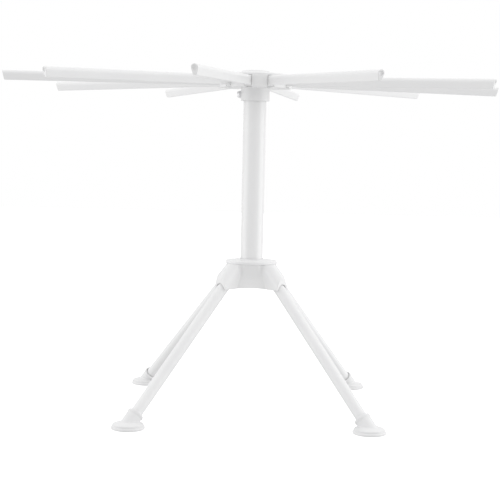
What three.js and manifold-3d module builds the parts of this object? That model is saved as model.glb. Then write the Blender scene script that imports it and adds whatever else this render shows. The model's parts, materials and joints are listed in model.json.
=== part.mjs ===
// Collapsible table-top pasta drying rack.
//
// A round column stands on a four-legged base. Ten hanging arms spread from a hub at its top.
// The hub turns on the column, every arm folds down on its own pin, and every leg folds in
// under the base on its own pin.
//
// Millimetres, +Z up. The origin is on the column's axis, level with the feet's undersides.
// Arms and legs are drawn lying along +X and are then turned about Z to their place.

import * as THREE from 'three';
import { mergeVertices } from 'three/addons/utils/BufferGeometryUtils.js';
import Module from 'manifold-3d';

const wasm = await Module();
wasm.setup();

// ---------------------------------------------------------------- driving dimensions

const GAP = 0.35;                     // running clearance between pieces that touch or turn
const HUB_SEGMENTS = 40;              // facets round the hub
const ROUND_SEGMENTS = 28;            // round the column, its socket and the feet
const SMALL_SEGMENTS = 20;            // round the legs and plugs
const FINE_SEGMENTS = 12;             // round pins, screws and their holes

const ARM_COUNT = 10;
const FIRST_ARM_AZIMUTH = 6.5;        // degrees, counter-clockwise from +X
const ARM_DROOP = [0.98, 0.7, 1.39, 1.39, 1.1, 0.1, 0.98, 0.85, 0.95, 0.92];  // degrees at rest
const ARM_TIP_RADIUS = 205;
const ARM_PIVOT_RADIUS = 24;
const ARM_HEIGHT = 7.8;
const ARM_TOP_WIDTH = 5.3;
const ARM_BOTTOM_WIDTH = 2.5;
const ARM_BOTTOM_Z = 266.4;
const ARM_TIP_SETBACK = 2;            // how far the end face leans in at its foot
const ARM_CORE_RADIUS = 1.5;
const ARM_CORE_DEPTH = 2.2;

const HUB_RADIUS = 30;
const HUB_BOTTOM_Z = 264.6;
const HUB_TOP_Z = 274.3;
const HUB_COLLAR_RADIUS = 11.8;
const HUB_COLLAR_BOTTOM_Z = 254.2;
const HUB_POCKET_RADIUS = 11.3;
const HUB_WEB = 1.7;
const SLOT_WIDTH = 6.2;
const SLOT_INNER_RADIUS = 18.9;
const ARM_PIN_RADIUS = 1.2;
const ARM_PIN_LENGTH = 11.2;

const CAP_RADIUS = 27.6;
const CAP_RIM_TOP_Z = 276.2;
const CAP_SHOULDER_Z = 277.8;
const CAP_DOME_RADIUS = 11.8;
const CAP_DOME_STEP = 0.9;            // the dome's upright edge
const CAP_TOP_Z = 279.7;

const TUBE_RADIUS = 9.1;
const TUBE_WALL = 1.2;
const TUBE_BOTTOM_Z = 105.3;
const TUBE_TOP_Z = 266;
const PLUG_LENGTH = 14;
const SCREW_RADIUS = 1.6;
const SCREW_HEAD_RADIUS = 3.4;
const SCREW_HEAD_HEIGHT = 1.4;
const SET_SCREW_HEAD_RADIUS = 2.9;
const SET_SCREW_HEAD_HEIGHT = 2.8;

const SOCKET_WALL = 1.2;
const SOCKET_BOTTOM_Z = 102.5;
const FLANGE_RADIUS = 21.3;
const FLANGE_BOTTOM_Z = 120.9;
const FLANGE_TOP_Z = 123.1;
const FLANGE_COLLAR_HEIGHT = 1;

const BASE_TOP_Z = 120.6;
const BASE_BOTTOM_Z = 100.9;
const BASE_TOP_HALF_WIDTH = 15.6;
const BASE_BOTTOM_HALF_WIDTH = 20.7;
const BASE_WALL = 2;
const HOOD_RADIUS = 6.3;              // of the half-round hood over one leg
const HOOD_LIFT = 2;                  // from the leg's axis up to the centre of the hood's arch
const HOOD_DEPTH = 26;                // how far its straight sides reach below the leg's axis
const HOOD_REACH = 36;                // from the column's axis to the hood's upright open face
const HOOD_BACK = 16;                 // from the leg's pivot up to the hood's closed end
const CHEEK_START = 12;               // where the walls beside a leg's eye begin

const LEG_COUNT = 4;
const FIRST_LEG_AZIMUTH = 45.5;
const LEG_PIVOT_RADIUS = 20.8;
const LEG_PIVOT_Z = 113.5;
const LEG_FLOOR_RADIUS = 133.7;        // where the leg's axis meets the floor
const LEG_RADIUS = 4.8;
const LEG_WALL = 1.4;
const LEG_BORE_TOP = 10;              // below the pivot
const LEG_PIN_RADIUS = 1.4;
const LEG_PIN_LENGTH = 11;

const FOOT_CENTRE_RADIUS = 130.7;
const FOOT_RADIUS = 13.1;
const FOOT_LIP_HEIGHT = 1.6;
const FOOT_DISC_HEIGHT = 4.2;
const FOOT_SLEEVE_RADIUS = 6.3;
const FOOT_RIM_RADIUS = 6.8;
const FOOT_SLEEVE_LENGTH = 15.7;      // along the leg's axis, up from the floor

// ---------------------------------------------------------------- worked-out dimensions

const ARM_PIVOT_Z = ARM_BOTTOM_Z + ARM_HEIGHT / 2;
const TUBE_BORE_RADIUS = TUBE_RADIUS - TUBE_WALL;
const SOCKET_BORE_RADIUS = TUBE_RADIUS + GAP;
const SOCKET_OUTER_RADIUS = SOCKET_BORE_RADIUS + SOCKET_WALL;
const LEG_REACH = LEG_FLOOR_RADIUS - LEG_PIVOT_RADIUS;
const LEG_LENGTH = Math.hypot(LEG_REACH, LEG_PIVOT_Z);
const LEG_TILT = Math.atan2(LEG_REACH, LEG_PIVOT_Z);      // from straight down, outwards
const LEG_END = LEG_LENGTH - 6.8;                         // the leg stops inside its foot
const CHANNEL_RADIUS = LEG_RADIUS + GAP;
const PAST = 6;                       // how far a cutting shape runs past the faces it cuts
const LONG = 60;                      // longer than any piece it cuts

// ---------------------------------------------------------------- materials

const whitePlastic = new THREE.MeshStandardMaterial({ color: 0xf2f2f0, roughness: 0.35, metalness: 0 });
const whiteTube = new THREE.MeshStandardMaterial({ color: 0xf0f0ee, roughness: 0.25, metalness: 0 });
const softPlastic = new THREE.MeshStandardMaterial({ color: 0xe8e8e6, roughness: 0.55, metalness: 0 });
const innerPlastic = new THREE.MeshStandardMaterial({ color: 0xdcdcda, roughness: 0.5, metalness: 0 });
const steel = new THREE.MeshStandardMaterial({ color: 0x9a9ca0, roughness: 0.3, metalness: 1 });

// ---------------------------------------------------------------- solids

// Turn a closed three.js geometry into a solid that can be joined and cut.
function solidFrom(geometry) {
  const bare = geometry.clone();
  bare.deleteAttribute('normal');
  bare.deleteAttribute('uv');
  const merged = mergeVertices(bare, 1e-4);
  const vertProperties = new Float32Array(merged.attributes.position.array);
  const triVerts = new Uint32Array(merged.index.array);
  return new wasm.Manifold(new wasm.Mesh({ numProp: 3, vertProperties, triVerts }));
}

function geometryFrom(solid) {
  const mesh = solid.getMesh();
  const geometry = new THREE.BufferGeometry();
  geometry.setAttribute('position', new THREE.BufferAttribute(new Float32Array(mesh.vertProperties), 3));
  geometry.setIndex(new THREE.BufferAttribute(new Uint32Array(mesh.triVerts), 1));
  geometry.computeVertexNormals();
  return geometry;
}

// A body of revolution about Z from [radius, z] points.
function turned(points, segments) {
  const profile = points.map(([radius, z]) => new THREE.Vector2(radius, z));
  return new THREE.LatheGeometry(profile, segments).rotateX(Math.PI / 2);
}

// A tube about Z, given as a closed profile.
function ring(inner, outer, bottom, top, segments) {
  return turned([[inner, bottom], [outer, bottom], [outer, top], [inner, top], [inner, bottom]], segments);
}

// A cylinder lying along X, Y or Z, centred on a point.
function rod(axis, radius, length, x, y, z, segments) {
  const geometry = new THREE.CylinderGeometry(radius, radius, length, segments);
  if (axis === 'x') geometry.rotateZ(Math.PI / 2);
  if (axis === 'z') geometry.rotateX(Math.PI / 2);
  return geometry.translate(x, y, z);
}

function block(width, depth, height, x, y, z) {
  return new THREE.BoxGeometry(width, depth, height).translate(x, y, z);
}

// An outline of [x, z] points, standing in the XZ plane and extruded to both sides of it.
function slab(points, width, rounding = 0) {
  const shape = new THREE.Shape(points.map(([x, z]) => new THREE.Vector2(x, z)));
  const depth = width - 2 * rounding;
  const geometry = new THREE.ExtrudeGeometry(shape, {
    depth,
    bevelEnabled: rounding > 0,
    bevelSize: rounding,
    bevelThickness: rounding,
    bevelOffset: -rounding,
    bevelSegments: 3,
  });
  return geometry.translate(0, 0, -depth / 2).rotateX(Math.PI / 2);
}

function cut(solid, ...tools) {
  return tools.reduce((rest, tool) => rest.subtract(tool), solid);
}

// Repeat a solid about Z, once for each azimuth in degrees.
function aroundAxis(solid, azimuths) {
  const copies = azimuths.map((azimuth) => solid.rotate([0, 0, azimuth]));
  return copies.reduce((sum, copy) => sum.add(copy));
}

const armAzimuths = ARM_DROOP.map((_, index) => FIRST_ARM_AZIMUTH + (index * 360) / ARM_COUNT);
const legAzimuths = Array.from({ length: LEG_COUNT }, (_, index) => FIRST_LEG_AZIMUTH + (index * 360) / LEG_COUNT);

// ---------------------------------------------------------------- scene graph helpers

const rack = new THREE.Group();

function place(name, geometry, material, parent = rack) {
  const mesh = new THREE.Mesh(geometry, material);
  mesh.name = name;
  parent.add(mesh);
  return mesh;
}

function turnedGroup(azimuth) {
  const group = new THREE.Group();
  group.rotation.z = THREE.MathUtils.degToRad(azimuth);
  rack.add(group);
  return group;
}

// ---------------------------------------------------------------- leg geometry in its own frame

// Turn something drawn hanging straight down from the origin into a leg's place.
function alongLeg(geometry) {
  return geometry.rotateY(-LEG_TILT).translate(LEG_PIVOT_RADIUS, 0, LEG_PIVOT_Z);
}

// A round bar that hangs straight down from the origin and has a half-round top.
function domedBar(radius, length) {
  const points = [[0, -length], [radius, -length]];
  const steps = 5;
  for (let step = 0; step < steps; step += 1) {
    const angle = (step / steps) * (Math.PI / 2);
    points.push([radius * Math.cos(angle), radius * Math.sin(angle)]);
  }
  points.push([0, radius]);
  return turned(points, SMALL_SEGMENTS);
}

// The point at a distance down the leg's axis and a rise from it, as [x, z].
function legPoint(distance, rise) {
  const x = LEG_PIVOT_RADIUS + distance * Math.sin(LEG_TILT) + rise * Math.cos(LEG_TILT);
  const z = LEG_PIVOT_Z - distance * Math.cos(LEG_TILT) + rise * Math.sin(LEG_TILT);
  return [x, z];
}

// ---------------------------------------------------------------- base housing

// A square hollow skirt that widens downwards.
function skirt(inset, bottom, top) {
  const slope = (BASE_BOTTOM_HALF_WIDTH - BASE_TOP_HALF_WIDTH) / (BASE_TOP_Z - BASE_BOTTOM_Z);
  const halfWidthAt = (z) => BASE_TOP_HALF_WIDTH + (BASE_TOP_Z - z) * slope - inset;
  const geometry = new THREE.CylinderGeometry(
    halfWidthAt(top) * Math.SQRT2, halfWidthAt(bottom) * Math.SQRT2, top - bottom, 4, 1,
  );
  return geometry.rotateX(Math.PI / 2).rotateZ(Math.PI / 4).translate(0, 0, (top + bottom) / 2);
}

// The hood over one leg: half round above the leg's axis, with straight sides below it.
function makeHood() {
  const arch = new THREE.Shape();
  arch.moveTo(-HOOD_RADIUS, -HOOD_DEPTH);
  arch.lineTo(HOOD_RADIUS, -HOOD_DEPTH);
  arch.lineTo(HOOD_RADIUS, HOOD_LIFT);
  arch.absarc(0, HOOD_LIFT, HOOD_RADIUS, 0, Math.PI, false);
  arch.closePath();
  const geometry = new THREE.ExtrudeGeometry(arch, { depth: LONG, bevelEnabled: false, curveSegments: 14 });
  return alongLeg(geometry.rotateZ(-Math.PI / 2).translate(0, 0, HOOD_BACK - LONG));
}

function makeBaseHousing() {
  const below = BASE_BOTTOM_Z - PAST;
  const above = BASE_TOP_Z + PAST;
  const cheeks = solidFrom(slab([
    [CHEEK_START, below],
    [BASE_BOTTOM_HALF_WIDTH, below],
    [BASE_BOTTOM_HALF_WIDTH, BASE_TOP_Z],
    [CHEEK_START, BASE_TOP_Z],
  ], 2 * HOOD_RADIUS));
  const outer = solidFrom(skirt(0, below, above)).add(aroundAxis(solidFrom(makeHood()), legAzimuths));
  const hollow = solidFrom(skirt(BASE_WALL, below - 1, BASE_TOP_Z - BASE_WALL));
  const limits = solidFrom(block(
    2 * HOOD_REACH, 2 * HOOD_REACH, BASE_TOP_Z - BASE_BOTTOM_Z, 0, 0, (BASE_TOP_Z + BASE_BOTTOM_Z) / 2,
  )).rotate([0, 0, FIRST_LEG_AZIMUTH]);
  const shell = outer.subtract(hollow).add(aroundAxis(cheeks, legAzimuths).intersect(outer)).intersect(limits);

  // the way that a leg needs: its tunnel with a domed end, and the open space below it
  const tunnel = solidFrom(alongLeg(domedBar(CHANNEL_RADIUS, LONG)));
  const foldedInside = LEG_PIVOT_RADIUS - CHANNEL_RADIUS - GAP;
  const swing = solidFrom(slab([
    [foldedInside, below - 1],
    legPoint(LONG, 0),
    legPoint(0, 0),
    [foldedInside, LEG_PIVOT_Z],
  ], 2 * CHANNEL_RADIUS));
  const pinHole = solidFrom(
    rod('y', LEG_PIN_RADIUS + GAP, LEG_PIN_LENGTH + 2 * GAP, LEG_PIVOT_RADIUS, 0, LEG_PIVOT_Z, FINE_SEGMENTS),
  );
  const way = tunnel.add(swing).add(pinHole);
  const socketHole = solidFrom(rod('z', SOCKET_OUTER_RADIUS + GAP, LONG, 0, 0, BASE_BOTTOM_Z, ROUND_SEGMENTS));
  return geometryFrom(cut(shell, aroundAxis(way, legAzimuths), socketHole));
}

place('base_housing', makeBaseHousing(), whitePlastic);

// ---------------------------------------------------------------- column socket with its flange

function makeColumnSocket() {
  const floorTop = TUBE_BOTTOM_Z - GAP;
  const profile = [
    [SCREW_RADIUS + GAP, SOCKET_BOTTOM_Z],
    [SOCKET_OUTER_RADIUS, SOCKET_BOTTOM_Z],
    [SOCKET_OUTER_RADIUS, FLANGE_BOTTOM_Z],
    [FLANGE_RADIUS - 0.5, FLANGE_BOTTOM_Z],
    [FLANGE_RADIUS, FLANGE_BOTTOM_Z + 0.5],
    [FLANGE_RADIUS, FLANGE_TOP_Z - 0.7],
    [FLANGE_RADIUS - 0.7, FLANGE_TOP_Z],
    [SOCKET_OUTER_RADIUS, FLANGE_TOP_Z],
    [SOCKET_BORE_RADIUS + 0.6, FLANGE_TOP_Z + FLANGE_COLLAR_HEIGHT],
    [SOCKET_BORE_RADIUS, FLANGE_TOP_Z + FLANGE_COLLAR_HEIGHT],
    [SOCKET_BORE_RADIUS, floorTop],
    [SCREW_RADIUS + GAP, floorTop],
    [SCREW_RADIUS + GAP, SOCKET_BOTTOM_Z],
  ];
  return turned(profile, ROUND_SEGMENTS);
}

place('column_socket', makeColumnSocket(), whitePlastic);

// ---------------------------------------------------------------- column

place('column_tube', ring(TUBE_BORE_RADIUS, TUBE_RADIUS, TUBE_BOTTOM_Z, TUBE_TOP_Z, ROUND_SEGMENTS), whiteTube);

function makePlug(bottom, top, flangeHeight) {
  const core = TUBE_BORE_RADIUS - GAP;
  const bore = SCREW_RADIUS + GAP;
  const profile = [[bore, bottom], [core, bottom], [core, top]];
  if (flangeHeight > 0) {
    profile.push([TUBE_RADIUS, top], [TUBE_RADIUS, top + flangeHeight]);
  }
  profile.push([bore, top + flangeHeight], [bore, bottom]);
  return turned(profile, SMALL_SEGMENTS);
}

const headPlugTop = TUBE_TOP_Z + GAP;
const headPlugFlange = 1.5;
place('column_plug', makePlug(TUBE_BOTTOM_Z + GAP, TUBE_BOTTOM_Z + PLUG_LENGTH, 0), innerPlastic);
place('head_plug', makePlug(headPlugTop - PLUG_LENGTH, headPlugTop, headPlugFlange), innerPlastic);

// A pan-head screw standing on its point, its head's underside at z = 0 and its shank below.
function makeScrew(shank, headRadius, headHeight) {
  const profile = [
    [0, -shank],
    [SCREW_RADIUS, 1 - shank],
    [SCREW_RADIUS, 0],
    [headRadius, 0],
    [headRadius, headHeight * 0.4],
    [headRadius * 0.6, headHeight],
    [0, headHeight],
  ];
  return turned(profile, FINE_SEGMENTS);
}

const columnScrew = place('column_screw', makeScrew(13, SCREW_HEAD_RADIUS, SCREW_HEAD_HEIGHT), steel);
columnScrew.rotation.x = Math.PI;
columnScrew.position.z = SOCKET_BOTTOM_Z - GAP;

// ---------------------------------------------------------------- hub

const hubCeiling = headPlugTop + headPlugFlange + GAP;
const pocketFloor = hubCeiling + HUB_WEB;
const setScrewZ = (HUB_COLLAR_BOTTOM_Z + HUB_BOTTOM_Z) / 2;

function makeHubBody() {
  const bore = TUBE_RADIUS + GAP;
  const body = solidFrom(turned([
    [bore, HUB_COLLAR_BOTTOM_Z],
    [HUB_COLLAR_RADIUS - 0.4, HUB_COLLAR_BOTTOM_Z],
    [HUB_COLLAR_RADIUS, HUB_COLLAR_BOTTOM_Z + 0.4],
    [HUB_COLLAR_RADIUS, HUB_BOTTOM_Z],
    [HUB_RADIUS - 0.4, HUB_BOTTOM_Z],
    [HUB_RADIUS, HUB_BOTTOM_Z + 0.4],
    [HUB_RADIUS, HUB_TOP_Z],
    [HUB_POCKET_RADIUS, HUB_TOP_Z],
    [HUB_POCKET_RADIUS, pocketFloor],
    [SCREW_RADIUS + GAP, pocketFloor],
    [SCREW_RADIUS + GAP, hubCeiling],
    [bore, hubCeiling],
    [bore, HUB_COLLAR_BOTTOM_Z],
  ], HUB_SEGMENTS));
  const slotLength = HUB_RADIUS - SLOT_INNER_RADIUS + 2;
  const slot = solidFrom(block(
    slotLength, SLOT_WIDTH, 16, SLOT_INNER_RADIUS + slotLength / 2, 0, ARM_PIVOT_Z,
  ));
  const pinRoom = ARM_PIN_RADIUS + GAP;
  const seatDepth = HUB_TOP_Z + 1 - (ARM_PIVOT_Z - pinRoom);
  const pinSeat = solidFrom(block(
    2 * pinRoom, ARM_PIN_LENGTH + 2 * GAP, seatDepth, ARM_PIVOT_RADIUS, 0, HUB_TOP_Z + 1 - seatDepth / 2,
  ));
  const screwHole = solidFrom(rod('x', SCREW_RADIUS + GAP, 8, -HUB_COLLAR_RADIUS, 0, setScrewZ, FINE_SEGMENTS));
  return geometryFrom(cut(body, aroundAxis(slot.add(pinSeat), armAzimuths), screwHole));
}

place('hub_body', makeHubBody(), whitePlastic);

function makeHubCap() {
  const underside = HUB_TOP_Z + GAP;
  const spigot = HUB_POCKET_RADIUS - GAP;
  const dome = [];
  const steps = 4;
  for (let step = 0; step <= steps; step += 1) {
    const across = 1 - step / steps;
    const rise = (CAP_TOP_Z - CAP_SHOULDER_Z - CAP_DOME_STEP) * (1 - across * across);
    dome.push([(CAP_DOME_RADIUS - 0.4) * across, CAP_SHOULDER_Z + CAP_DOME_STEP + rise]);
  }
  return turned([
    [0, underside - 1.2],
    [spigot, underside - 1.2],
    [spigot, underside],
    [CAP_RADIUS, underside],
    [CAP_RADIUS, CAP_RIM_TOP_Z - 0.6],
    [CAP_RADIUS - 0.8, CAP_RIM_TOP_Z],
    [CAP_DOME_RADIUS, CAP_SHOULDER_Z],
    ...dome,
  ], HUB_SEGMENTS);
}

place('hub_cap', makeHubCap(), whitePlastic);

const headScrew = place('head_screw', makeScrew(12, SCREW_HEAD_RADIUS, SCREW_HEAD_HEIGHT), steel);
headScrew.position.z = pocketFloor + GAP;

const setScrewShank = HUB_COLLAR_RADIUS - TUBE_RADIUS;
const setScrew = place(
  'hub_set_screw', makeScrew(setScrewShank, SET_SCREW_HEAD_RADIUS, SET_SCREW_HEAD_HEIGHT), steel,
);
setScrew.rotation.y = -Math.PI / 2;
setScrew.position.set(-HUB_COLLAR_RADIUS - GAP, 0, setScrewZ);

// ---------------------------------------------------------------- arms and their pins

// The arm's section: a round bead along the top that narrows to a thin foot.
function armSection() {
  const bead = ARM_TOP_WIDTH / 2;
  const foot = ARM_BOTTOM_WIDTH / 2;
  const beadHeight = ARM_HEIGHT / 2 - bead;
  const lean = Math.atan2(bead - foot, ARM_HEIGHT - bead);
  const shape = new THREE.Shape();
  shape.moveTo(-foot, -ARM_HEIGHT / 2);
  shape.lineTo(foot, -ARM_HEIGHT / 2);
  shape.absarc(0, beadHeight, bead, -lean, Math.PI + lean, false);
  shape.closePath();
  return shape;
}

// Drawn about the pivot: the pivot is the local origin and the arm runs along +X.
function makeArm() {
  const length = ARM_TIP_RADIUS - ARM_PIVOT_RADIUS;
  const bar = solidFrom(
    new THREE.ExtrudeGeometry(armSection(), { depth: length, bevelEnabled: false, curveSegments: 5 })
      .rotateX(Math.PI / 2).rotateZ(Math.PI / 2),
  );
  const eye = solidFrom(rod('y', ARM_HEIGHT / 2, SLOT_WIDTH - 3 * GAP, 0, 0, 0, FINE_SEGMENTS));
  const hole = solidFrom(rod('y', ARM_PIN_RADIUS + GAP, 10, 0, 0, 0, FINE_SEGMENTS));
  const beadHeight = ARM_HEIGHT / 2 - ARM_TOP_WIDTH / 2;
  const core = solidFrom(rod('x', ARM_CORE_RADIUS, 2 * ARM_CORE_DEPTH, length, 0, beadHeight, FINE_SEGMENTS));
  const slant = solidFrom(slab([
    [length, ARM_HEIGHT / 2 + 0.01],
    [length - ARM_TIP_SETBACK, -ARM_HEIGHT / 2 - 0.01],
    [length + 5, -ARM_HEIGHT / 2 - 0.01],
    [length + 5, ARM_HEIGHT / 2 + 0.01],
  ], 10));
  return geometryFrom(cut(bar.add(eye), hole, core, slant));
}

const armGeometry = makeArm();
const armPinGeometry = rod('y', ARM_PIN_RADIUS, ARM_PIN_LENGTH, 0, 0, 0, FINE_SEGMENTS);

armAzimuths.forEach((azimuth, index) => {
  const group = turnedGroup(azimuth);
  const number = String(index + 1).padStart(2, '0');
  const arm = place(`arm_${number}`, armGeometry, whitePlastic, group);
  arm.position.set(ARM_PIVOT_RADIUS, 0, ARM_PIVOT_Z);
  arm.rotation.y = THREE.MathUtils.degToRad(ARM_DROOP[index]);
  const pin = place(`arm_pin_${number}`, armPinGeometry, steel, group);
  pin.position.copy(arm.position);
});

// ---------------------------------------------------------------- legs, their pins and feet

function makeLeg() {
  const stem = solidFrom(domedBar(LEG_RADIUS, LEG_END));
  const bore = solidFrom(turned([
    [0, -LEG_END - 1],
    [LEG_RADIUS - LEG_WALL, -LEG_END - 1],
    [LEG_RADIUS - LEG_WALL, -LEG_BORE_TOP],
    [0, -LEG_BORE_TOP],
  ], FINE_SEGMENTS));
  const hole = solidFrom(rod('y', LEG_PIN_RADIUS + GAP, LONG, 0, 0, 0, FINE_SEGMENTS));
  return geometryFrom(cut(stem, bore, hole));
}

function makeFoot() {
  const disc = solidFrom(turned([
    [0, 0],
    [FOOT_RADIUS - 0.5, 0],
    [FOOT_RADIUS, 0.5],
    [FOOT_RADIUS, FOOT_LIP_HEIGHT],
    [FOOT_RADIUS - 0.7, FOOT_LIP_HEIGHT + 0.5],
    [FOOT_RADIUS - 0.8, FOOT_DISC_HEIGHT - 1],
    [FOOT_RADIUS - 2, FOOT_DISC_HEIGHT],
    [FOOT_SLEEVE_RADIUS + 2, FOOT_DISC_HEIGHT + 0.8],
    [0, FOOT_DISC_HEIGHT + 0.8],
  ], ROUND_SEGMENTS).translate(FOOT_CENTRE_RADIUS, 0, 0));
  const sleeveTop = LEG_LENGTH - FOOT_SLEEVE_LENGTH;
  const sleeve = solidFrom(alongLeg(turned([
    [0, -LEG_LENGTH - PAST],
    [FOOT_SLEEVE_RADIUS, -LEG_LENGTH - PAST],
    [FOOT_SLEEVE_RADIUS, -sleeveTop - 3],
    [FOOT_RIM_RADIUS, -sleeveTop - 2],
    [FOOT_RIM_RADIUS, -sleeveTop - 0.8],
    [FOOT_RIM_RADIUS - 0.8, -sleeveTop],
    [0, -sleeveTop],
  ], SMALL_SEGMENTS)));
  const underFloor = solidFrom(block(LONG, LONG, LONG, FOOT_CENTRE_RADIUS, 0, -LONG / 2));
  const boreMiddle = LONG / 2 - LEG_END - GAP;
  const bore = solidFrom(alongLeg(rod('z', CHANNEL_RADIUS, LONG, 0, 0, boreMiddle, SMALL_SEGMENTS)));
  return geometryFrom(cut(disc.add(sleeve), underFloor, bore));
}

const legGeometry = makeLeg();
const legPinGeometry = rod('y', LEG_PIN_RADIUS, LEG_PIN_LENGTH, 0, 0, 0, FINE_SEGMENTS);
const footGeometry = makeFoot();

legAzimuths.forEach((azimuth, index) => {
  const group = turnedGroup(azimuth);
  const number = index + 1;
  const leg = place(`leg_${number}`, legGeometry, whitePlastic, group);
  leg.position.set(LEG_PIVOT_RADIUS, 0, LEG_PIVOT_Z);
  leg.rotation.y = -LEG_TILT;
  const pin = place(`leg_pin_${number}`, legPinGeometry, steel, group);
  pin.position.copy(leg.position);
  place(`foot_${number}`, footGeometry, softPlastic, group);
});

export default rack;
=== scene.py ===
"""Looks of the collapsible pasta drying rack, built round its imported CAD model.

Shapes are drawn in millimetres, in the frame of the CAD model, and scaled to metres when they are
handed over. Arms, legs and feet are drawn lying along +X and are then turned to their places.
"""

import json
import math

import bmesh
import bpy
from mathutils import Matrix, Vector


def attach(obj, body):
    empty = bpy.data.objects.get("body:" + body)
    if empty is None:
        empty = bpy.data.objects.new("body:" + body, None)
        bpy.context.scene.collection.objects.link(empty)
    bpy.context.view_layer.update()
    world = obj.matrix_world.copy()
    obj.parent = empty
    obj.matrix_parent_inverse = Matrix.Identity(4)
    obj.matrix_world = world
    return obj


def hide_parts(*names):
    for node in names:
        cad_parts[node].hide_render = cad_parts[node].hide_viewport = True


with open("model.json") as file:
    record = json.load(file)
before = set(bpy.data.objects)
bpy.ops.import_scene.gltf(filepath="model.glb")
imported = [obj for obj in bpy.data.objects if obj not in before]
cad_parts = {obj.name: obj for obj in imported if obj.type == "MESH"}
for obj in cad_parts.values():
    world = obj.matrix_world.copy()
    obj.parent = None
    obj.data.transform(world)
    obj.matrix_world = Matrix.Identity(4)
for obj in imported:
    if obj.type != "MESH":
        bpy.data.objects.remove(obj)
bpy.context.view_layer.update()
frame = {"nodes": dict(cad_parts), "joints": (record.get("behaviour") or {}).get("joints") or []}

# ---------------------------------------------------------------- dimensions, millimetres

MM = 0.001
GAP = 0.35                       # running clearance between pieces
SEAM = 0.04                      # between faces that meet without moving
ROUND_STEPS = 128                # facets round the large turned shapes
SMALL_STEPS = 64                 # facets round the small ones
ARC_STEPS = 5                    # facets along a rounded corner
PAST = 6                         # how far a cutter reaches past the solid that it cuts
LONG = 60                        # length of a cutter that has to leave the housing

ARM_DROOP = [0.98, 0.7, 1.39, 1.39, 1.1, 0.1, 0.98, 0.85, 0.95, 0.92]    # degrees at rest
ARM_LENGTH = 181                 # from the pin to the tip
ARM_HEIGHT = 7.8
ARM_TOP_WIDTH = 5.3
ARM_BOTTOM_WIDTH = 2.5
ARM_TIP_SETBACK = 2              # how much shorter the arm is at its foot than at its top
ARM_TIP_EDGE = 0.5               # rounding round the arm's end
ARM_CORE_RADIUS = 1.7            # of the dished recess in the arm's end
ARM_CORE_DEPTH = 0.9
ARM_EYE_WIDTH = 5.15
ARM_PIN_HOLE_RADIUS = 1.55
ROOT_SECTIONS = [                # x, half width and height at the top, half width and height at the foot
    (0, 2.62, 3.8, 2.62, -4.75),
    (5.7, 2.62, 3.8, 2.62, -4.75),
    (6.6, 2.6, 3.7, 2.4, -3.88),
    (9.5, 1.4, 3.6, 1.2, -3.88),
]

HUB_RADIUS = 30
HUB_BOTTOM_Z = 264.6
HUB_TOP_Z = 274.3
HUB_EDGE = 0.3                   # rounding of the hub's rims
SLOT_HALF_WIDTH = 2.75           # the arm fits the slot closely
SLOT_INNER_RADIUS = 18.9
COLLAR_RADIUS = 11.8
COLLAR_BOTTOM_Z = 254.2
SET_SCREW_Z = (COLLAR_BOTTOM_Z + HUB_BOTTOM_Z) / 2
BORE_RADIUS = 9.75
HUB_CEILING_Z = 268.2
POCKET_FLOOR_Z = 269.9
POCKET_RADIUS = 11.3
SCREW_HOLE_RADIUS = 1.95

CAP_RADIUS = 27.6
CAP_RIM_TOP_Z = 276.2
CAP_SHOULDER_Z = 277.8
CAP_DOME_RADIUS = 11.8
CAP_DOME_STEP = 0.9              # height of the dome's upright rim
CAP_TOP_Z = 279.7

TUBE_RADIUS = 9.4
TUBE_WALL = 1.5
TUBE_BOTTOM_Z = 105.3
TUBE_TOP_Z = 266

SOCKET_RADIUS = 10.65
SOCKET_BOTTOM_Z = 102.5
FLANGE_RADIUS = 21.3
FLANGE_BOTTOM_Z = 120.9
FLANGE_TOP_Z = 123.1

BASE_TOP_Z = 120.6
BASE_BOTTOM_Z = 100.9
BASE_TOP_HALF_WIDTH = 15.6
BASE_BOTTOM_HALF_WIDTH = 20.7
BASE_WALL = 2
BASE_VOXEL = 0.4                 # fineness of the moulded skin
BASE_CORNER = 3
BASE_ARCH = 0.9                  # how far the skirt's foot rises in the middle of each side
ARCH_HALF_WIDTH = 13
ARCH_HEIGHT = 6                  # the arch fades out this far above the skirt's foot
FLARE_RADIUS = 21.2              # the skirt's top spreads out to here, just inside the flange's rim
FLARE_START_Z = 108
FLARE_HALF_WIDTH = 11
FLARE_FADE = 5.5                 # the flare's sides run out over this width
FLARE_POWER = 1.6                # above 1 the flare is hollow, like a cove
SKIN_START = 12                  # only the outer wall spreads, not what is nearer to the axis
SKIN_FADE = 3
HOOD_RADIUS = 6.3                # of the half-round hood over one leg
HOOD_LIFT = 2                    # from the leg's axis up to the centre of the hood's arch
HOOD_DEPTH = 26                  # how far its straight sides reach below the leg's axis
HOOD_REACH = 36                  # from the column's axis to the hood's upright open face
HOOD_BACK = 16                   # from the leg's pivot up to the hood's closed end
HOOD_END = 26                    # from the leg's pivot down to where the hood is cut off
CHEEK_START = 12                 # where the walls beside a leg's top begin

LEG_PIVOT_RADIUS = 20.8
LEG_PIVOT_Z = 113.5
LEG_FLOOR_RADIUS = 133.7
LEG_RADIUS = 4.8
LEG_WALL = 1.4
LEG_PIN_HOLE_RADIUS = 1.75
CHANNEL_RADIUS = LEG_RADIUS + GAP
LEG_REACH = LEG_FLOOR_RADIUS - LEG_PIVOT_RADIUS
LEG_LENGTH = math.hypot(LEG_REACH, LEG_PIVOT_Z)
LEG_TILT = math.atan2(LEG_REACH, LEG_PIVOT_Z)
LEG_END = LEG_LENGTH - 6.8

FOOT_CENTRE_RADIUS = 130.7
FOOT_RADIUS = 13.1
FOOT_SLEEVE_RADIUS = 6.3
FOOT_RIM_RADIUS = 6.8
FOOT_SLEEVE_LENGTH = 15.7
FOOT_VOXEL = 0.3
EASE_PASSES = 3                  # how often the moulded skins are smoothed

SCREW_SHANK_RADIUS = 1.6
BOSS_RADIUS = 3.2                # of the raised seat round the set screw

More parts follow.
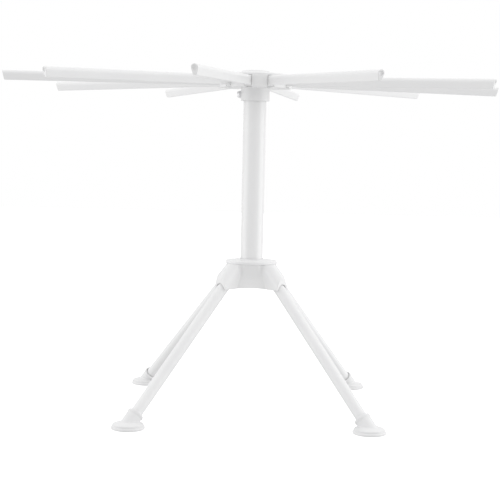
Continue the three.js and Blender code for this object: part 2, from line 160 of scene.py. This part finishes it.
# ---------------------------------------------------------------- mesh tools


def add_object(name, vertices, faces):
    mesh = bpy.data.meshes.new(name)
    mesh.from_pydata([tuple(v) for v in vertices], [], faces)
    outward = bmesh.new()
    outward.from_mesh(mesh)
    bmesh.ops.recalc_face_normals(outward, faces=outward.faces)
    outward.to_mesh(mesh)
    outward.free()
    obj = bpy.data.objects.new(name, mesh)
    bpy.context.scene.collection.objects.link(obj)
    return obj


def rounded(corners, closed=False):
    """A path through (x, y, radius) corners, with an arc at each corner that has a radius."""
    path = []
    last = len(corners) - 1
    for index, (x, y, radius) in enumerate(corners):
        here = Vector((x, y))
        if radius == 0 or (not closed and index in (0, last)):
            path.append(here)
            continue
        before = (Vector(corners[index - 1][:2]) - here).normalized()
        after = (Vector(corners[(index + 1) % len(corners)][:2]) - here).normalized()
        half = before.angle(after) / 2
        centre = here + (before + after).normalized() * (radius / math.sin(half))
        reach = radius / math.tan(half)
        first, second = here + before * reach - centre, here + after * reach - centre
        for step in range(ARC_STEPS + 1):
            share = step / ARC_STEPS
            path.append(centre + (first * (1 - share) + second * share).normalized() * radius)
    return path


def turned(name, corners, steps=ROUND_STEPS, closed=False):
    """A body of revolution about Z from (radius, z, rounding) corners."""
    vertices, rings, faces = [], [], []
    for radius, height in rounded(corners, closed):
        first = len(vertices)
        if radius < 1e-6:
            rings.append([first] * steps)
            vertices.append((0, 0, height))
            continue
        rings.append(list(range(first, first + steps)))
        for step in range(steps):
            angle = 2 * math.pi * step / steps
            vertices.append((radius * math.cos(angle), radius * math.sin(angle), height))
    for low, high in zip(rings, rings[1:] + (rings[:1] if closed else [])):
        for step in range(steps):
            after = (step + 1) % steps
            face = list(dict.fromkeys([low[step], low[after], high[after], high[step]]))
            if len(face) > 2:
                faces.append(face)
    return add_object(name, vertices, faces)


def lofted(name, rings):
    """A closed solid through rings of points that go anticlockwise seen from the last ring."""
    count = len(rings[0])
    vertices = [point for ring in rings for point in ring]
    faces = [list(range(count - 1, -1, -1))]
    for layer in range(len(rings) - 1):
        low = layer * count
        for index in range(count):
            after = (index + 1) % count
            faces.append([low + index, low + after, low + count + after, low + count + index])
    faces.append(list(range(len(vertices) - count, len(vertices))))
    return add_object(name, vertices, faces)


def box(name, low, high):
    ring = [(low[0], low[1]), (high[0], low[1]), (high[0], high[1]), (low[0], high[1])]
    return lofted(name, [[(x, y, z) for x, y in ring] for z in (low[2], high[2])])


def rod(name, radius, start, end, edge=0, steps=SMALL_STEPS):
    """A cylinder from one point to another, with rounded rims."""
    start, end = Vector(start), Vector(end)
    length = (end - start).length
    obj = turned(name, [(0, 0, 0), (radius, 0, edge), (radius, length, edge), (0, length, 0)], steps)
    turn = (end - start).to_track_quat("Z", "Y").to_matrix().to_4x4()
    obj.data.transform(Matrix.Translation(start) @ turn)
    return obj


def domed_bar(name, radius, length, edge=0):
    """A round bar that hangs from the origin and has a half-round top."""
    corners = [(0, -length, 0), (radius, -length, edge)]
    steps = 16
    for step in range(steps + 1):
        angle = math.pi / 2 * step / steps
        corners.append((radius * math.cos(angle), radius * math.sin(angle), 0))
    return turned(name, corners, SMALL_STEPS)


def apply_modifiers(obj):
    graph = bpy.context.evaluated_depsgraph_get()
    made = bpy.data.meshes.new_from_object(obj.evaluated_get(graph))
    obj.modifiers.clear()
    old, obj.data = obj.data, made
    bpy.data.meshes.remove(old)
    return obj


def remove(obj):
    mesh = obj.data
    bpy.data.objects.remove(obj)
    bpy.data.meshes.remove(mesh)


def combine(obj, operation, *tools):
    """Joins, cuts or trims a solid with others, which are used up."""
    for tool in tools:
        modifier = obj.modifiers.new("combine", "BOOLEAN")
        modifier.operation = operation
        modifier.solver = "EXACT"
        modifier.object = tool
        apply_modifiers(obj)
        remove(tool)
    return obj


def moved_copy(obj, matrix):
    copy = bpy.data.objects.new(obj.name, obj.data.copy())
    copy.data.transform(matrix)
    bpy.context.scene.collection.objects.link(copy)
    return copy


def around(obj, azimuths):
    """Copies of a solid turned about Z. The first one is used up."""
    copies = [moved_copy(obj, Matrix.Rotation(azimuth, 4, "Z")) for azimuth in azimuths]
    remove(obj)
    return copies


def melted(obj, voxel, passes):
    """Rebuilds a solid as one even skin and eases its edges, as moulding does."""
    remesh = obj.modifiers.new("skin", "REMESH")
    remesh.mode = "VOXEL"
    remesh.voxel_size = voxel
    ease = obj.modifiers.new("ease", "SMOOTH")
    ease.factor = 0.5
    ease.iterations = passes
    apply_modifiers(obj)
    obj.data.shade_smooth()
    return obj


def shaded(obj, angle=35):
    """Smooth shading with crisp corners and flat faces that stay flat."""
    obj.data.shade_smooth()
    obj.data.set_sharp_from_angle(angle=math.radians(angle))
    weighted = obj.modifiers.new("normals", "WEIGHTED_NORMAL")
    weighted.keep_sharp = True
    return apply_modifiers(obj)


def hand_over(obj, name, body, slot, material, *nodes):
    """Scales a finished piece to metres and ties it to its CAD body and nodes. The slot argument is not
    used.
    """
    obj.name = name
    obj.data.name = name
    obj.data.transform(Matrix.Scale(MM, 4))
    obj.data.materials.clear()
    obj.data.materials.append(material)
    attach(obj, body)
    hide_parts(*nodes)
    return obj


# ---------------------------------------------------------------- materials


def noise(tree, scale, detail, source):
    node = tree.nodes.new("ShaderNodeTexNoise")
    node.inputs["Scale"].default_value = scale
    node.inputs["Detail"].default_value = detail
    tree.links.new(source, node.inputs["Vector"])
    return node.outputs["Fac"]


def spread(tree, value, low, high):
    """Maps the middle of a noise's range to low..high."""
    node = tree.nodes.new("ShaderNodeMapRange")
    node.inputs["From Min"].default_value = 0.3
    node.inputs["From Max"].default_value = 0.7
    node.inputs["To Min"].default_value = low
    node.inputs["To Max"].default_value = high
    tree.links.new(value, node.inputs["Value"])
    return node.outputs["Result"]


def blended(tree, share, first, second):
    node = tree.nodes.new("ShaderNodeMix")
    node.data_type = "RGBA"
    tree.links.new(share, node.inputs["Factor"])
    for socket, colour in ((node.inputs["A"], first), (node.inputs["B"], second)):
        if isinstance(colour, tuple):
            socket.default_value = (*colour, 1)
        else:
            tree.links.new(colour, socket)
    return node.outputs["Result"]


CLOUD_SCALE = 28                 # noise scales, in features to the metre
GLOSS_SCALE = 70
SPECKLE_SCALE = 900
SPECKLE_SHARE = 0.35
GRAIN_STRENGTH = 0.5


def surface(name, light, dark, roughness, rough_spread, grain_scale, grain_depth, metallic=0):
    """Moulded or turned material: clouded tone, fine speckle, uneven gloss and a fine grain."""
    material = bpy.data.materials.new(name)
    material.use_nodes = True
    tree = material.node_tree
    shader = tree.nodes["Principled BSDF"]
    place = tree.nodes.new("ShaderNodeTexCoord").outputs["Object"]
    clouds = spread(tree, noise(tree, CLOUD_SCALE, 3, place), 0, 1)
    speckle = spread(tree, noise(tree, SPECKLE_SCALE, 2, place), 0, SPECKLE_SHARE)
    tone = blended(tree, clouds, light, dark)
    tree.links.new(blended(tree, speckle, tone, dark), shader.inputs["Base Color"])
    smoothest, roughest = roughness - rough_spread, roughness + rough_spread
    gloss = spread(tree, noise(tree, GLOSS_SCALE, 4, place), smoothest, roughest)
    tree.links.new(gloss, shader.inputs["Roughness"])
    bump = tree.nodes.new("ShaderNodeBump")
    bump.inputs["Strength"].default_value = GRAIN_STRENGTH
    bump.inputs["Distance"].default_value = grain_depth
    tree.links.new(noise(tree, grain_scale, 3, place), bump.inputs["Height"])
    tree.links.new(bump.outputs["Normal"], shader.inputs["Normal"])
    shader.inputs["Metallic"].default_value = metallic
    return material


white_plastic = surface(
    "white_plastic", (0.80, 0.80, 0.80), (0.775, 0.775, 0.78),
    0.335, 0.045, 240, 0.00002,
)
tube_plastic = surface(
    "tube_plastic", (0.79, 0.79, 0.79), (0.78, 0.78, 0.783),
    0.235, 0.03, 160, 0.00001,
)
foot_plastic = surface(
    "foot_plastic", (0.78, 0.78, 0.78), (0.74, 0.74, 0.745),
    0.5, 0.07, 320, 0.00004,
)
inner_plastic = surface(
    "inner_plastic", (0.68, 0.68, 0.675), (0.62, 0.62, 0.62),
    0.5, 0.06, 320, 0.00004,
)
steel = surface(
    "steel", (0.86, 0.86, 0.87), (0.8, 0.8, 0.81),
    0.5, 0.08, 600, 0.00001, metallic=1,
)

# ---------------------------------------------------------------- places of the joints

joints = {joint["name"]: Vector(joint["pos_m"]) / MM for joint in frame["joints"]}
arm_pins = [joints[f"arm_{number:02d}_fold"] for number in range(1, 11)]
leg_pins = [joints[f"leg_{number}_fold"] for number in range(1, 5)]
arm_azimuths = [math.atan2(pin.y, pin.x) for pin in arm_pins]
leg_azimuths = [math.atan2(pin.y, pin.x) for pin in leg_pins]
leg_pivot = Matrix.Translation((LEG_PIVOT_RADIUS, 0, LEG_PIVOT_Z))
along_leg = leg_pivot @ Matrix.Rotation(-LEG_TILT, 4, "Y")

# ---------------------------------------------------------------- column


def make_tube():
    inner = TUBE_RADIUS - TUBE_WALL
    return shaded(turned("tube", [
        (inner, TUBE_BOTTOM_Z, 0.3),
        (TUBE_RADIUS, TUBE_BOTTOM_Z, 0.4),
        (TUBE_RADIUS, TUBE_TOP_Z, 0.4),
        (inner, TUBE_TOP_Z, 0.3),
    ], closed=True))


def make_socket():
    bore = TUBE_RADIUS + GAP
    return shaded(turned("socket", [
        (SCREW_HOLE_RADIUS, SOCKET_BOTTOM_Z, 0),
        (SOCKET_RADIUS, SOCKET_BOTTOM_Z, 0.5),
        (SOCKET_RADIUS, FLANGE_BOTTOM_Z, 0.15),
        (FLANGE_RADIUS, FLANGE_BOTTOM_Z, 0.15),
        (FLANGE_RADIUS, FLANGE_TOP_Z, 0.4),
        (bore + 1.3, FLANGE_TOP_Z + 0.7, 0.4),
        (bore + 0.7, FLANGE_TOP_Z + 1.5, 0.3),
        (bore, FLANGE_TOP_Z + 1.5, 0.2),
        (bore, TUBE_BOTTOM_Z - GAP, 0),
        (SCREW_HOLE_RADIUS, TUBE_BOTTOM_Z - GAP, 0),
    ], closed=True))


hand_over(make_tube(), "column_tube_detail", "stand", "tube_plastic", tube_plastic, "column_tube")
hand_over(make_socket(), "column_socket_detail", "stand", "white_plastic", white_plastic, "column_socket")

# ---------------------------------------------------------------- base housing


def square_ring(half, height):
    corners = [(half, -half), (half, half), (-half, half), (-half, -half)]
    path = rounded([(x, y, BASE_CORNER) for x, y in corners], closed=True)
    return [(x, y, height) for x, y in path]


def skirt(name, inset, bottom, top):
    slope = (BASE_BOTTOM_HALF_WIDTH - BASE_TOP_HALF_WIDTH) / (BASE_TOP_Z - BASE_BOTTOM_Z)
    rings = []
    for height in (bottom, top):
        rings.append(square_ring(BASE_TOP_HALF_WIDTH + (BASE_TOP_Z - height) * slope - inset, height))
    return lofted(name, rings)


def make_hood():
    """The hood over one leg, lying along +X: half round above the leg, straight-sided below it."""
    ring = [(-HOOD_DEPTH, HOOD_RADIUS), (HOOD_LIFT, HOOD_RADIUS)]
    steps = SMALL_STEPS // 2
    for step in range(1, steps):
        angle = math.pi * step / steps
        ring.append((HOOD_LIFT + HOOD_RADIUS * math.sin(angle), HOOD_RADIUS * math.cos(angle)))
    ring += [(HOOD_LIFT, -HOOD_RADIUS), (-HOOD_DEPTH, -HOOD_RADIUS)]
    hood = lofted("hood", [[(rise, side, z) for rise, side in ring] for z in (HOOD_BACK, -HOOD_END)])
    hood.data.transform(along_leg)
    return hood


def make_base():
    below, above = BASE_BOTTOM_Z - PAST, BASE_TOP_Z + PAST
    base = skirt("base", 0, below, above)
    combine(base, "UNION", *around(make_hood(), leg_azimuths))
    combine(base, "DIFFERENCE", skirt("hollow", BASE_WALL, below - 2, BASE_TOP_Z - BASE_WALL))
    cheek = box(
        "cheek",
        (CHEEK_START, -HOOD_RADIUS, below),
        (BASE_BOTTOM_HALF_WIDTH, HOOD_RADIUS, BASE_TOP_Z - 1),
    )
    combine(base, "UNION", *around(cheek, leg_azimuths))
    limits = box(
        "limits",
        (-HOOD_REACH, -HOOD_REACH, BASE_BOTTOM_Z),
        (HOOD_REACH, HOOD_REACH, FLANGE_BOTTOM_Z - SEAM),
    )
    limits.data.transform(Matrix.Rotation(leg_azimuths[0], 4, "Z"))
    combine(base, "INTERSECT", limits)
    folded = LEG_PIVOT_RADIUS - CHANNEL_RADIUS - GAP
    end = along_leg @ Vector((0, 0, -LONG))
    tunnel = domed_bar("tunnel", CHANNEL_RADIUS, LONG)
    tunnel.data.transform(along_leg)
    outline = [(folded, below - 2), (end.x, end.z), (LEG_PIVOT_RADIUS, LEG_PIVOT_Z), (folded, LEG_PIVOT_Z)]
    reach = CHANNEL_RADIUS - 0.05
    swing = lofted("swing", [[(x, y, z) for x, z in outline] for y in (reach, -reach)])
    for way in (tunnel, swing):
        combine(base, "DIFFERENCE", *around(way, leg_azimuths))
    combine(base, "DIFFERENCE", rod("socket_hole", SOCKET_RADIUS + GAP, (0, 0, below), (0, 0, above)))
    melted(base, BASE_VOXEL, EASE_PASSES)
    shape_skirt(base)
    return base


def shape_skirt(base):
    """Arches the skirt's foot on each side, and spreads its top out to meet the flange."""
    for vertex in base.data.vertices:
        point = vertex.co
        along, across = (0, 1) if abs(point.x) < abs(point.y) else (1, 0)
        side, out = abs(point[along]), abs(point[across])
        middle = max(0, 1 - (side / ARCH_HALF_WIDTH) ** 2)
        foot = max(0, 1 - (point.z - BASE_BOTTOM_Z) / ARCH_HEIGHT)
        point.z += BASE_ARCH * middle * foot
        top = min(1, max(0, (point.z - FLARE_START_Z) / (BASE_TOP_Z - FLARE_START_Z)))
        window = min(1, max(0, (FLARE_HALF_WIDTH - side) / FLARE_FADE))
        skin = min(1, max(0, (out - SKIN_START) / SKIN_FADE))
        rim = math.sqrt(max(0, FLARE_RADIUS ** 2 - side ** 2))
        room = max(0, rim - BASE_TOP_HALF_WIDTH)
        flare = room * top ** FLARE_POWER * window ** 2 * (3 - 2 * window) * skin
        point[across] += math.copysign(flare, point[across])


hand_over(make_base(), "base_housing_detail", "stand", "white_plastic", white_plastic, "base_housing")

# ---------------------------------------------------------------- hub and its cap


def hub_ring(inset, height):
    """The hub's outline with its ten slots, drawn in by an inset."""
    radius, half, inner = HUB_RADIUS - inset, SLOT_HALF_WIDTH + inset, SLOT_INNER_RADIUS - inset
    corner_x = math.sqrt(radius ** 2 - half ** 2)
    pitch = 2 * math.pi / len(arm_azimuths)
    margin = math.asin(half / radius) + 0.05
    steps = 12
    corners = []
    for azimuth in arm_azimuths:
        turn = Matrix.Rotation(azimuth, 2)
        slot = [
            (corner_x, -half, 0.4 - inset),
            (inner, -half, 0.25 + inset),
            (inner, half, 0.25 + inset),
            (corner_x, half, 0.4 - inset),
        ]
        corners += [(*(turn @ Vector((x, y))), rounding) for x, y, rounding in slot]
        for step in range(steps + 1):
            angle = azimuth + margin + (pitch - 2 * margin) * step / steps
            corners.append((radius * math.cos(angle), radius * math.sin(angle), 0))
    return [(x, y, height) for x, y in rounded(corners, closed=True)]


def make_hub():
    rings = []
    for step in range(ARC_STEPS + 1):
        angle = math.pi / 2 * step / ARC_STEPS
        inset, rise = HUB_EDGE * (1 - math.sin(angle)), HUB_EDGE * (1 - math.cos(angle))
        rings.append(hub_ring(inset, HUB_BOTTOM_Z + rise))
    for step in range(ARC_STEPS + 1):
        angle = math.pi / 2 * step / ARC_STEPS
        inset, drop = HUB_EDGE * (1 - math.cos(angle)), HUB_EDGE * (1 - math.sin(angle))
        rings.append(hub_ring(inset, HUB_TOP_Z - drop))
    hub = lofted("hub", rings)
    combine(hub, "UNION", turned("collar", [
        (0, COLLAR_BOTTOM_Z, 0),
        (COLLAR_RADIUS, COLLAR_BOTTOM_Z, 0.5),
        (COLLAR_RADIUS, HUB_BOTTOM_Z, 0.7),
        (COLLAR_RADIUS + 3, HUB_BOTTOM_Z + 0.03, 0),
        (COLLAR_RADIUS + 3, HUB_BOTTOM_Z + 1, 0),
        (0, HUB_BOTTOM_Z + 1, 0),
    ]))
    boss = rod(
        "boss", BOSS_RADIUS,
        (-BORE_RADIUS - 0.5, 0, SET_SCREW_Z), (-COLLAR_RADIUS - GAP + SEAM, 0, SET_SCREW_Z), 0.3,
    )
    combine(hub, "UNION", boss)
    combine(
        hub, "DIFFERENCE",
        rod("bore", BORE_RADIUS, (0, 0, COLLAR_BOTTOM_Z - 2), (0, 0, HUB_CEILING_Z), steps=ROUND_STEPS),
        rod("pocket", POCKET_RADIUS, (0, 0, POCKET_FLOOR_Z), (0, 0, HUB_TOP_Z + 2), steps=ROUND_STEPS),
        rod("screw_hole", SCREW_HOLE_RADIUS, (0, 0, HUB_CEILING_Z - 1), (0, 0, POCKET_FLOOR_Z + 1)),
    )
    return shaded(hub)


def make_cap():
    underside = HUB_TOP_Z + SEAM
    spigot = POCKET_RADIUS - GAP
    corners = [
        (0, underside - 1.2, 0),
        (spigot, underside - 1.2, 0.3),
        (spigot, underside, 0),
        (CAP_RADIUS, underside, 0.1),
        (CAP_RADIUS, CAP_RIM_TOP_Z, 0.7),
        (CAP_DOME_RADIUS, CAP_SHOULDER_Z, 0.3),
        (CAP_DOME_RADIUS - 0.35, CAP_SHOULDER_Z + CAP_DOME_STEP, 0.4),
    ]
    steps = 10
    dome_z = CAP_SHOULDER_Z + CAP_DOME_STEP
    for step in range(1, steps + 1):
        across = 1 - step / steps
        height = dome_z + (CAP_TOP_Z - dome_z) * (1 - across * across)
        corners.append(((CAP_DOME_RADIUS - 0.4) * across, height, 0))
    return shaded(turned("cap", corners))


hand_over(make_hub(), "hub_body_detail", "head", "white_plastic", white_plastic, "hub_body")
hand_over(make_cap(), "hub_cap_detail", "head", "white_plastic", white_plastic, "hub_cap")

# ---------------------------------------------------------------- screws


def make_screw(shank, radius, height):
    """A pan-head screw on its point, with a cross recess in its head."""
    screw = turned("screw", [
        (0, -shank, 0),
        (SCREW_SHANK_RADIUS, 1 - shank, 0.2),
        (SCREW_SHANK_RADIUS, 0, 0),
        (radius, 0, 0.2),
        (radius, height * 0.45, 0.5),
        (radius * 0.6, height, 0.4),
        (0, height, 0),
    ], SMALL_STEPS)
    reach, half, top = radius * 0.55, radius * 0.11, height + 1
    combine(
        screw, "DIFFERENCE",
        box("blade", (-reach, -half, height * 0.45), (reach, half, top)),
        box("blade", (-half, -reach, height * 0.45), (half, reach, top)),
    )
    return shaded(screw)


for name, body, place, size in (
    (
        "column_screw", "stand",
        Matrix.Translation((0, 0, SOCKET_BOTTOM_Z - GAP)) @ Matrix.Rotation(math.pi, 4, "X"),
        (13, 3.4, 1.4),
    ),
    ("head_screw", "head", Matrix.Translation((0, 0, POCKET_FLOOR_Z + GAP)), (12, 3.4, 1.4)),
    (
        "hub_set_screw", "head",
        Matrix.Translation((-COLLAR_RADIUS - GAP, 0, SET_SCREW_Z)) @ Matrix.Rotation(-math.pi / 2, 4, "Y"),
        (COLLAR_RADIUS - TUBE_RADIUS, 2.9, 2.8),
    ),
):
    screw = make_screw(*size)
    screw.data.transform(place)
    hand_over(screw, f"{name}_detail", body, "steel", steel, name)

# ---------------------------------------------------------------- arms


def arm_section():
    """The section's outline about the bead's centre, as (across, up) points from the foot round."""
    bead, foot = ARM_TOP_WIDTH / 2, ARM_BOTTOM_WIDTH / 2
    drop = ARM_HEIGHT - bead
    lean = math.atan2(bead - foot, drop)
    corners = [(-foot, -drop, 0.6), (foot, -drop, 0.6)]
    steps = 24
    for step in range(steps + 1):
        angle = -lean + (math.pi + 2 * lean) * step / steps
        corners.append((bead * math.cos(angle), bead * math.sin(angle), 0))
    return rounded(corners, closed=True)


def make_arm():
    """Drawn about its pin: the pin is the origin and the arm runs along +X."""
    section = arm_section()
    bead_z = ARM_HEIGHT / 2 - ARM_TOP_WIDTH / 2

    def placed(points, x, lean):
        return [(x - lean * (0.5 - (z + bead_z) / ARM_HEIGHT), y, z + bead_z) for y, z in points]

    def ring(x, inset, lean):
        return placed([point * (1 - inset / point.length) for point in section], x, lean)

    def hole(x, radius):
        return placed([point.normalized() * radius for point in section], x, ARM_TIP_SETBACK)

    rings = [ring(0, 0, 0), ring(ARM_LENGTH - 12, 0, 0), ring(ARM_LENGTH - 6, 0, 0)]
    for step in range(ARC_STEPS + 1):
        angle = math.pi / 2 * step / ARC_STEPS
        x = ARM_LENGTH - ARM_TIP_EDGE * (1 - math.sin(angle))
        rings.append(ring(x, ARM_TIP_EDGE * (1 - math.cos(angle)), ARM_TIP_SETBACK))
    lip = 0.1
    rings.append(hole(ARM_LENGTH, ARM_CORE_RADIUS + lip))
    for step in range(ARC_STEPS + 1):
        angle = math.pi / 2 * step / (ARC_STEPS + 1)
        x = ARM_LENGTH - lip - ARM_CORE_DEPTH * math.sin(angle)
        rings.append(hole(x, ARM_CORE_RADIUS * math.cos(angle)))
    arm = lofted("arm", rings)
    half = ARM_EYE_WIDTH / 2
    combine(arm, "UNION", rod("eye", ARM_HEIGHT / 2, (0, -half, 0), (0, half, 0), 0.3))
    root = []
    for x, head_half, head_z, foot_half, foot_z in ROOT_SECTIONS:
        sides = [(foot_half, foot_z), (head_half, head_z), (-head_half, head_z), (-foot_half, foot_z)]
        root.append([(x, y, z) for y, z in sides])
    combine(arm, "UNION", lofted("root", root))
    combine(arm, "DIFFERENCE", rod("pin_hole", ARM_PIN_HOLE_RADIUS, (0, -9, 0), (0, 9, 0)))
    return shaded(arm)


arm = make_arm()
for index, (pin, azimuth) in enumerate(zip(arm_pins, arm_azimuths)):
    droop = math.radians(ARM_DROOP[index])
    place = Matrix.Translation(pin) @ Matrix.Rotation(azimuth, 4, "Z") @ Matrix.Rotation(droop, 4, "Y")
    name = f"arm_{index + 1:02d}"
    hand_over(moved_copy(arm, place), f"{name}_detail", name, "white_plastic", white_plastic, name)
remove(arm)

# ---------------------------------------------------------------- legs and feet


def make_leg():
    """Lying along +X in its place, before it is turned about Z."""
    inner = LEG_RADIUS - LEG_WALL
    leg = domed_bar("leg", LEG_RADIUS, LEG_END, 0.4)
    combine(
        leg, "DIFFERENCE",
        rod("bore", inner, (0, 0, -LEG_END - 1), (0, 0, -10)),
        rod("pin_hole", LEG_PIN_HOLE_RADIUS, (0, -9, 0), (0, 9, 0)),
    )
    leg.data.transform(along_leg)
    return shaded(leg)


def make_foot():
    foot = turned("foot", [
        (0, 0, 0),
        (FOOT_RADIUS, 0, 0.5),
        (FOOT_RADIUS, 1.9, 0.5),
        (FOOT_RADIUS - 0.9, 2.2, 0.15),
        (FOOT_RADIUS - 0.8, 3.9, 0.9),
        (FOOT_SLEEVE_RADIUS + 2, 5.2, 0),
        (0, 6.6, 0),
    ])
    foot.data.transform(Matrix.Translation((FOOT_CENTRE_RADIUS, 0, 0)))
    top = FOOT_SLEEVE_LENGTH - LEG_LENGTH
    sleeve = turned("sleeve", [
        (0, -LEG_LENGTH - 6, 0),
        (FOOT_SLEEVE_RADIUS, -LEG_LENGTH - 6, 0),
        (FOOT_SLEEVE_RADIUS, top - 3, 0.8),
        (FOOT_RIM_RADIUS, top - 2, 0.4),
        (FOOT_RIM_RADIUS, top, 0.8),
        (0, top, 0),
    ])
    sleeve.data.transform(along_leg)
    combine(foot, "UNION", sleeve)
    room = 40
    combine(
        foot, "DIFFERENCE",
        box("floor", (FOOT_CENTRE_RADIUS - room, -room, -room), (FOOT_CENTRE_RADIUS + room, room, 0)),
        rod(
            "bore", CHANNEL_RADIUS,
            along_leg @ Vector((0, 0, -LEG_END - GAP)), along_leg @ Vector((0, 0, top + 20)),
        ),
    )
    return melted(foot, FOOT_VOXEL, EASE_PASSES)


leg, foot = make_leg(), make_foot()
for index, azimuth in enumerate(leg_azimuths):
    turn = Matrix.Rotation(azimuth, 4, "Z")
    body, foot_node = f"leg_{index + 1}", f"foot_{index + 1}"
    hand_over(moved_copy(leg, turn), f"{body}_detail", body, "white_plastic", white_plastic, body)
    hand_over(moved_copy(foot, turn), f"{foot_node}_detail", body, "foot_plastic", foot_plastic, foot_node)
remove(leg)
remove(foot)

# ---------------------------------------------------------------- CAD nodes that stay in view

kept = {"column_plug": inner_plastic, "head_plug": inner_plastic}
for name in frame["nodes"]:
    if "_pin_" in name:
        kept[name] = steel
for name, material in kept.items():
    node = frame["nodes"][name]
    node.data.materials.clear()
    node.data.materials.append(material)

# ---------------------------------------------------------------- floor, light and camera

ROOM_LIGHT = 0.87
ROOM_SLOPE = (0, 0.08, 0.06)     # how much lighter the room gets towards +X, +Y and +Z

scene = bpy.context.scene
scene.view_settings.view_transform = "Standard"


def make_floor():
    half = 3
    corners = [(-half, -half), (half, -half), (half, half), (-half, half)]
    floor = add_object("floor", [(x, y, -0.0002) for x, y in corners], [[0, 1, 2, 3]])
    material = bpy.data.materials.new("floor")
    material.use_nodes = True
    shader = material.node_tree.nodes["Principled BSDF"]
    shader.inputs["Base Color"].default_value = (0.9, 0.9, 0.9, 1)
    shader.inputs["Roughness"].default_value = 0.8
    shader.inputs["Emission Color"].default_value = (1, 1, 1, 1)
    shader.inputs["Emission Strength"].default_value = 0.6
    floor.data.materials.append(material)
    floor.visible_diffuse = False
    floor.visible_glossy = False
    floor.visible_shadow = False


def make_world():
    """White to the eye, and for the light a soft room that is brighter above and behind."""
    world = bpy.data.worlds.new("studio")
    scene.world = world
    world.use_nodes = True
    tree = world.node_tree
    tree.nodes.clear()
    out = tree.nodes.new("ShaderNodeOutputWorld")
    seen = tree.nodes.new("ShaderNodeBackground")
    lit = tree.nodes.new("ShaderNodeBackground")
    seen.inputs["Color"].default_value = (1, 1, 1, 1)
    lit.inputs["Color"].default_value = (1, 1, 1, 1)
    direction = tree.nodes.new("ShaderNodeTexCoord").outputs["Generated"]
    slope = tree.nodes.new("ShaderNodeVectorMath")
    slope.operation = "DOT_PRODUCT"
    slope.inputs[1].default_value = ROOM_SLOPE
    tree.links.new(direction, slope.inputs[0])
    strength = tree.nodes.new("ShaderNodeMath")
    strength.operation = "ADD"
    strength.inputs[1].default_value = ROOM_LIGHT
    tree.links.new(slope.outputs["Value"], strength.inputs[0])
    tree.links.new(strength.outputs["Value"], lit.inputs["Strength"])
    path = tree.nodes.new("ShaderNodeLightPath")
    mix = tree.nodes.new("ShaderNodeMixShader")
    tree.links.new(path.outputs["Is Camera Ray"], mix.inputs["Fac"])
    tree.links.new(lit.outputs[0], mix.inputs[1])
    tree.links.new(seen.outputs[0], mix.inputs[2])
    tree.links.new(mix.outputs[0], out.inputs["Surface"])


def add_softbox(name, location, width, height, power):
    light = bpy.data.lights.new(name, "AREA")
    light.shape = "RECTANGLE"
    light.size, light.size_y = width, height
    light.energy = power
    obj = bpy.data.objects.new(name, light)
    obj.location = location
    aim = Vector((0, 0, min(location[2], 0.2))) - Vector(location)
    obj.rotation_euler = aim.to_track_quat("-Z", "Y").to_euler()
    scene.collection.objects.link(obj)


make_floor()
make_world()
add_softbox("left_softbox", (-1.5, -0.18, 0.12), 1.27, 0.5, 3.3)
add_softbox("right_softbox", (1.5, -0.18, 0.12), 1.27, 0.5, 4.1)
add_softbox("left_high_softbox", (-1.1, -0.35, 1.0), 1.0, 1.0, 2.6)
add_softbox("right_high_softbox", (1.1, -0.35, 1.0), 1.0, 1.0, 3.4)
add_softbox("top_softbox", (0, 0.7, 1.8), 2.4, 1.6, 4.5)

camera = bpy.data.objects.new("camera", bpy.data.cameras.new("camera"))
scene.collection.objects.link(camera)
scene.camera = camera
camera.data.sensor_width = 36
camera.data.lens = 91.37
camera.data.clip_start = 0.01
pitch, roll, yaw = math.radians(4.7605), math.radians(1.2928), math.radians(-0.0781)
forward = Vector((math.sin(yaw) * math.cos(pitch), math.cos(yaw) * math.cos(pitch), -math.sin(pitch)))
level = Vector((math.cos(yaw), -math.sin(yaw), 0))
upright = level.cross(forward)
right = level * math.cos(roll) + upright * math.sin(roll)
up = upright * math.cos(roll) - level * math.sin(roll)
aim = Matrix((right, up, -forward)).transposed().to_4x4()
camera.matrix_world = Matrix.Translation((0, -1.04882, 0.218777)) @ aim
